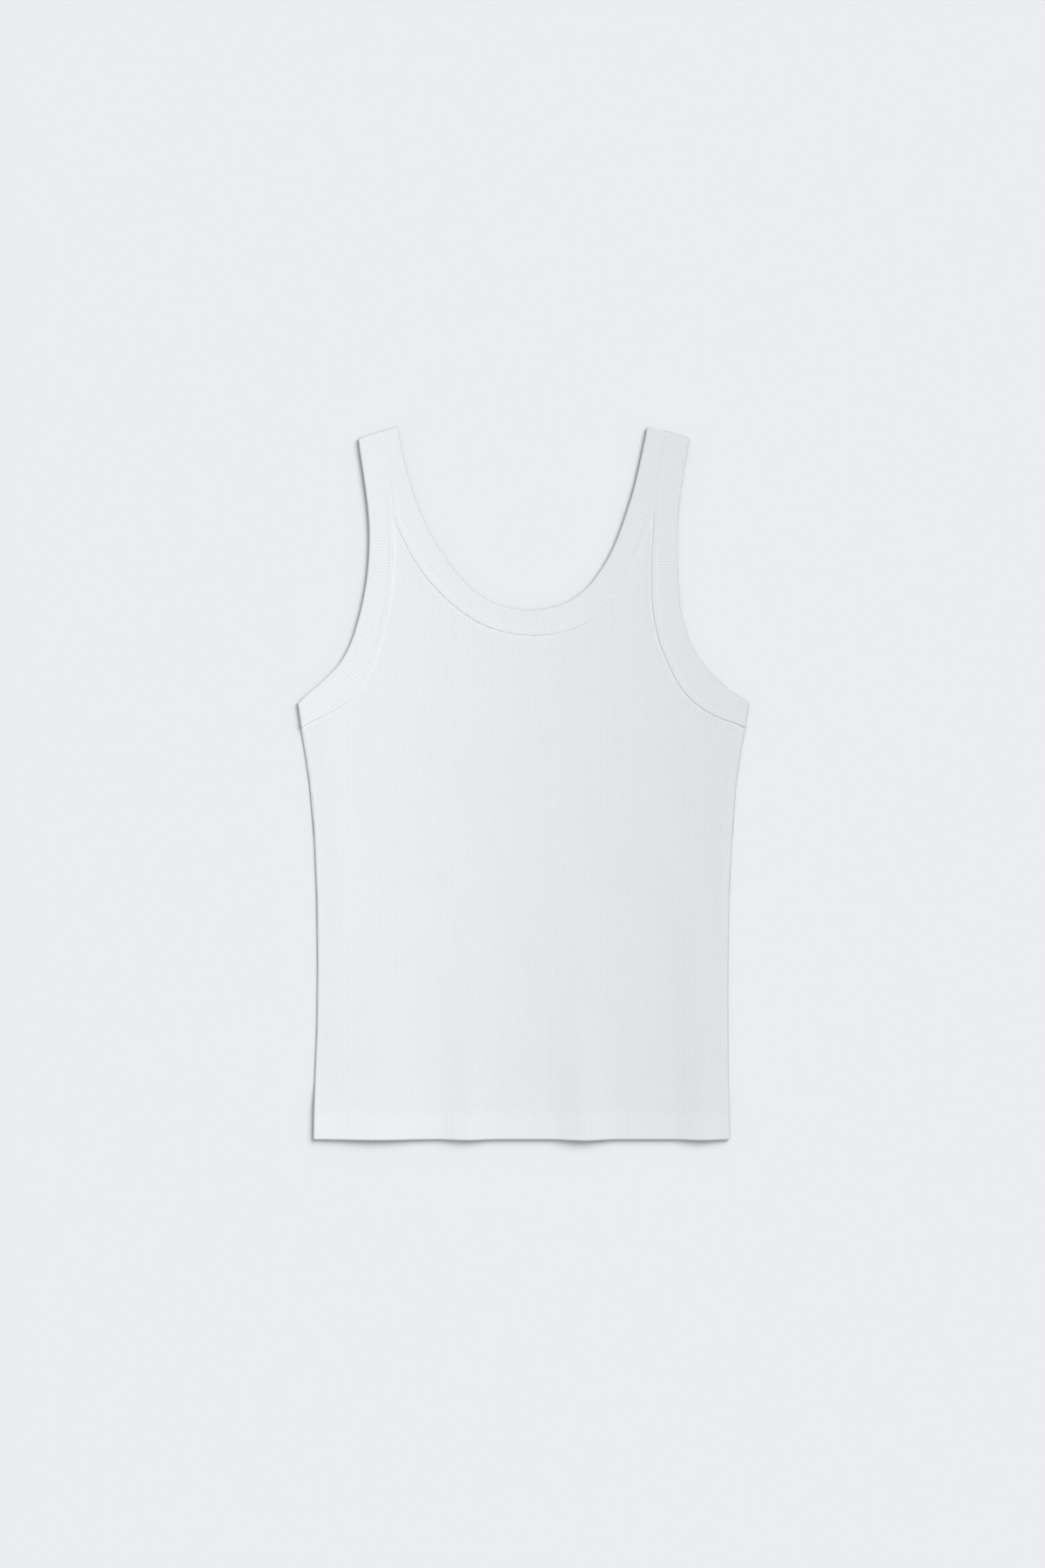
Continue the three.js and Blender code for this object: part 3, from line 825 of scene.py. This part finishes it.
def plain_material(name, colour, roughness, grain):
    """A matte material with a hardly visible grain."""
    material = bpy.data.materials.new(name)
    material.use_nodes = True
    tree = material.node_tree
    shader = tree.nodes["Principled BSDF"]
    shader.inputs["Roughness"].default_value = roughness
    shader.inputs["Specular IOR Level"].default_value = 0.1
    noise = tree.nodes.new("ShaderNodeTexNoise")
    noise.inputs["Scale"].default_value = grain
    toned = mixed(tree, noise.outputs["Fac"], darker(colour, PLAIN_FALL), colour)
    tree.links.new(toned, shader.inputs["Base Color"])
    return material


def sewing_thread():
    """Fine white polyester thread, a little glossier than the knit."""
    made = bpy.data.materials.get("sewing_thread")
    return made or plain_material("sewing_thread", THREAD_COLOUR, roughness=0.6, grain=900)


# Light


def aim(direction):
    """Rotation of a lamp that shines from a direction toward the garment."""
    return (-Vector(direction)).to_track_quat("-Z", "Y").to_euler()


def sun(name, strength, spread, direction, lights=None):
    """A sun lamp that shines from a direction. Its spread in degrees softens the shadows, and lights is the
    collection that it shines on, if not on everything."""
    light = bpy.data.lights.new(name, "SUN")
    light.energy, light.angle = strength, math.radians(spread)
    lamp = bpy.data.objects.new(name, light)
    lamp.rotation_euler = aim(direction)
    if lights is not None:
        lamp.light_linking.receiver_collection = lights
    bpy.context.scene.collection.objects.link(lamp)


def spot(name, strength, lights):
    """A soft-rimmed spot lamp beside the camera, which shines on the things in one collection."""
    light = bpy.data.lights.new(name, "SPOT")
    light.energy, light.spot_size, light.spot_blend = strength, math.radians(SPOT_CONE), SPOT_RIM
    light.shadow_soft_size = SPOT_SIZE
    lamp = bpy.data.objects.new(name, light)
    lamp.location = SPOT_PLACE
    lamp.rotation_euler = aim([a - b for a, b in zip(SPOT_PLACE, SPOT_TARGET)])
    lamp.light_linking.receiver_collection = lights
    bpy.context.scene.collection.objects.link(lamp)


# Add-on


class TankTopCloth(bpy.types.PropertyGroup):
    """Sizes and colours of the knit."""

    rib_pitch: FloatProperty(
        name="Rib Pitch",
        description="Distance between the panels' ribs",
        default=1.86 * MM,
        subtype="DISTANCE",
        unit="LENGTH",
    )
    rib_height: FloatProperty(
        name="Rib Height",
        description="Relief of the panels' ribs",
        default=0.19 * MM,
        subtype="DISTANCE",
        unit="LENGTH",
    )
    band_rib_pitch: FloatProperty(
        name="Band Rib Pitch",
        description="Distance between the bands' ribs",
        default=2.4 * MM,
        subtype="DISTANCE",
        unit="LENGTH",
    )
    band_rib_height: FloatProperty(
        name="Band Rib Height",
        description="Relief of the bands' ribs",
        default=0.18 * MM,
        subtype="DISTANCE",
        unit="LENGTH",
    )
    stitch_height: FloatProperty(
        name="Stitch Height",
        description="Height of one knit stitch",
        default=0.85 * MM,
        subtype="DISTANCE",
        unit="LENGTH",
    )
    # Strength of the painted shade between the ribs; the stitches' painted shade is a share of it
    groove_painted_shade: FloatProperty(
        name="Groove Shade",
        description="How much darker the knit is between its ribs",
        default=0.035,
        subtype="FACTOR",
    )
    # Strength of the painted shade at folded edges
    edge_painted_shade: FloatProperty(
        name="Edge Shade",
        description="How much darker the knit is where it turns over an edge",
        default=0.28,
        subtype="FACTOR",
    )
    cloth_thickness: FloatProperty(
        name="Thickness",
        description="One layer of the knit",
        default=1.0 * MM,
        subtype="DISTANCE",
        unit="LENGTH",
    )
    hem_depth: FloatProperty(
        name="Hem Depth",
        description="Height of the cloth turned up inside",
        default=25 * MM,
        subtype="DISTANCE",
        unit="LENGTH",
    )
    cloth_colour: FloatVectorProperty(
        name="Cloth",
        description="Colour of the panels",
        default=(0.850, 0.860, 0.882),
        subtype="COLOR",
        size=3,
    )
    double_colour: FloatVectorProperty(
        name="Double Cloth",
        description="Colour where the cloth lies double",
        default=(0.876, 0.885, 0.909),
        subtype="COLOR",
        size=3,
    )


class TankTopStage(bpy.types.PropertyGroup):
    """The table, the light and the camera."""

    table_colour: FloatVectorProperty(
        name="Table",
        description="Colour of the table",
        default=(0.50, 0.5055, 0.5245),
        subtype="COLOR",
        size=3,
    )
    sky_strength: FloatProperty(
        name="Sky",
        description="Even light from all round",
        default=0.19,
    )
    overhead_strength: FloatProperty(
        name="Overhead",
        description="Broad light from above",
        default=0.6,
    )
    key_strength: FloatProperty(
        name="Table Key",
        description="Light on the table from the upper right",
        default=4.0,
    )
    top_strength: FloatProperty(
        name="Table Top Light",
        description="Broad light on the table from above",
        default=1.35,
    )
    soft_strength: FloatProperty(
        name="Cloth Key",
        description="Soft light on the cloth",
        default=1.515,
    )
    spot_strength: FloatProperty(
        name="Cloth Spot",
        description="Light on the cloth that falls off to its right",
        default=110.0,
        unit="POWER",
    )
    view_height: FloatProperty(
        name="View Height",
        description="Height of the scene that the picture shows",
        default=1.26,
        subtype="DISTANCE",
        unit="LENGTH",
    )
    lens: FloatProperty(
        name="Lens",
        description="Focal length in millimetres",
        default=100,
    )


class TANKTOP_OT_back_panel(bpy.types.Operator):
    """Builds the back panel, ribbed, over the front one"""

    bl_idname = "tanktop.back_panel"
    bl_label = "Back Panel"

    def execute(self, context):
        cloth = context.scene.tank_top_cloth
        material = knit_material("rib_knit_back", cloth, cloth.rib_pitch, False)
        piece = new_piece("back_panel_cloth", *panel_mesh(cloth, back_face, 1), material, "rib_knit")
        merge_points(piece)
        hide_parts("back_panel")
        stitches = hem_stitching(cloth, back_face, 1)
        thread = new_piece("back_hem_stitching", *stitches, sewing_thread(), "rib_knit")
        return {"FINISHED"}


class TANKTOP_OT_front_panel(bpy.types.Operator):
    """Builds the front panel, which lies on the table"""

    bl_idname = "tanktop.front_panel"
    bl_label = "Front Panel"

    def execute(self, context):
        cloth = context.scene.tank_top_cloth
        material = knit_material("rib_knit_front", cloth, cloth.rib_pitch, False)
        piece = new_piece("front_panel_cloth", *panel_mesh(cloth, front_face, -1), material, "rib_knit")
        merge_points(piece)
        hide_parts("front_panel")
        stitches = hem_stitching(cloth, front_face, -1)
        thread = new_piece("front_hem_stitching", *stitches, sewing_thread(), "rib_knit")
        return {"FINISHED"}


class TANKTOP_OT_bands(bpy.types.Operator):
    """Builds the neck band and the two armhole bands"""

    bl_idname = "tanktop.bands"
    bl_label = "Bands"

    def execute(self, context):
        cloth = context.scene.tank_top_cloth
        material = knit_material("rib_knit_bands", cloth, cloth.band_rib_pitch, True)
        armhole_seams = [seam_line(BANDS["left"]), seam_line(BANDS["right"])]
        for name, band, limits, width in (
            ("armhole_band_left", BANDS["left"], [], ARMHOLE_BAND_CUT),
            ("armhole_band_right", BANDS["right"], [], ARMHOLE_BAND_CUT),
            ("neck_band", BANDS["neck"], armhole_seams, NECK_BAND_CUT),
        ):
            piece = new_piece(name + "_cloth", *band_mesh(cloth, band, limits), material, "band_knit")
            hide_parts(name)
        return {"FINISHED"}


class TANKTOP_OT_stage(bpy.types.Operator):
    """Sets the table, the light and the camera straight above"""

    bl_idname = "tanktop.stage"
    bl_label = "Stage"

    def execute(self, context):
        scene, stage = context.scene, context.scene.tank_top_stage
        mesh = bpy.data.meshes.new("table")
        square = ((-1, -1), (1, -1), (1, 1), (-1, 1))
        corners = [(TABLE_REACH * x, TABLE_REACH * y, TABLE_LEVEL) for x, y in square]
        mesh.from_pydata(corners, [], [(0, 1, 2, 3)])
        mesh.materials.append(plain_material("table_top", stage.table_colour, roughness=0.9, grain=3))
        table = bpy.data.objects.new("table", mesh)
        scene.collection.objects.link(table)

        world = bpy.data.worlds.new("sky")
        world.use_nodes = True
        background = world.node_tree.nodes["Background"]
        background.inputs["Color"].default_value = (1, 1, 1, 1)
        background.inputs["Strength"].default_value = stage.sky_strength
        scene.world = world

        on_table = bpy.data.collections.new("lit_table")
        on_table.objects.link(table)
        on_cloth = bpy.data.collections.new(LIT_CLOTH)
        sun("overhead", stage.overhead_strength, spread=60, direction=ABOVE)
        sun("table_key", stage.key_strength, spread=36, direction=TABLE_KEY_WAY, lights=on_table)
        sun("table_top_light", stage.top_strength, spread=160, direction=ABOVE, lights=on_table)
        sun("cloth_key", stage.soft_strength, spread=30, direction=CLOTH_KEY_WAY, lights=on_cloth)
        spot("cloth_spot", stage.spot_strength, on_cloth)

        camera = bpy.data.cameras.new("camera")
        camera.lens = stage.lens
        camera.clip_end = CAMERA_FAR
        eye = bpy.data.objects.new("camera", camera)
        distance = stage.view_height / 2 * stage.lens / (camera.sensor_width / 2)
        eye.location = (*CAMERA_ASIDE, distance)
        scene.collection.objects.link(eye)
        scene.camera = eye
        scene.view_settings.view_transform = "Standard"
        return {"FINISHED"}


STEPS = (TANKTOP_OT_stage, TANKTOP_OT_front_panel, TANKTOP_OT_back_panel, TANKTOP_OT_bands)


class TANKTOP_PT_sidebar(bpy.types.Panel):
    """The tank top's pieces and sizes"""

    bl_label = "Tank Top"
    bl_idname = "TANKTOP_PT_sidebar"
    bl_space_type = "VIEW_3D"
    bl_region_type = "UI"
    bl_category = "Tank Top"

    def draw(self, context):
        for settings in (context.scene.tank_top_cloth, context.scene.tank_top_stage):
            for name in settings.__annotations__:
                self.layout.prop(settings, name)
        for step in STEPS:
            self.layout.operator(step.bl_idname)


CLASSES = (TankTopCloth, TankTopStage, *STEPS, TANKTOP_PT_sidebar)


def register():
    for cls in CLASSES:
        bpy.utils.register_class(cls)
    bpy.types.Scene.tank_top_cloth = PointerProperty(type=TankTopCloth)
    bpy.types.Scene.tank_top_stage = PointerProperty(type=TankTopStage)


def unregister():
    del bpy.types.Scene.tank_top_stage
    del bpy.types.Scene.tank_top_cloth
    for cls in reversed(CLASSES):
        bpy.utils.unregister_class(cls)


def main():
    register()
    bpy.ops.tanktop.stage()
    bpy.ops.tanktop.front_panel()
    bpy.ops.tanktop.back_panel()
    bpy.ops.tanktop.bands()
    bpy.context.view_layer.update()


if __name__ == "__main__":
    main()
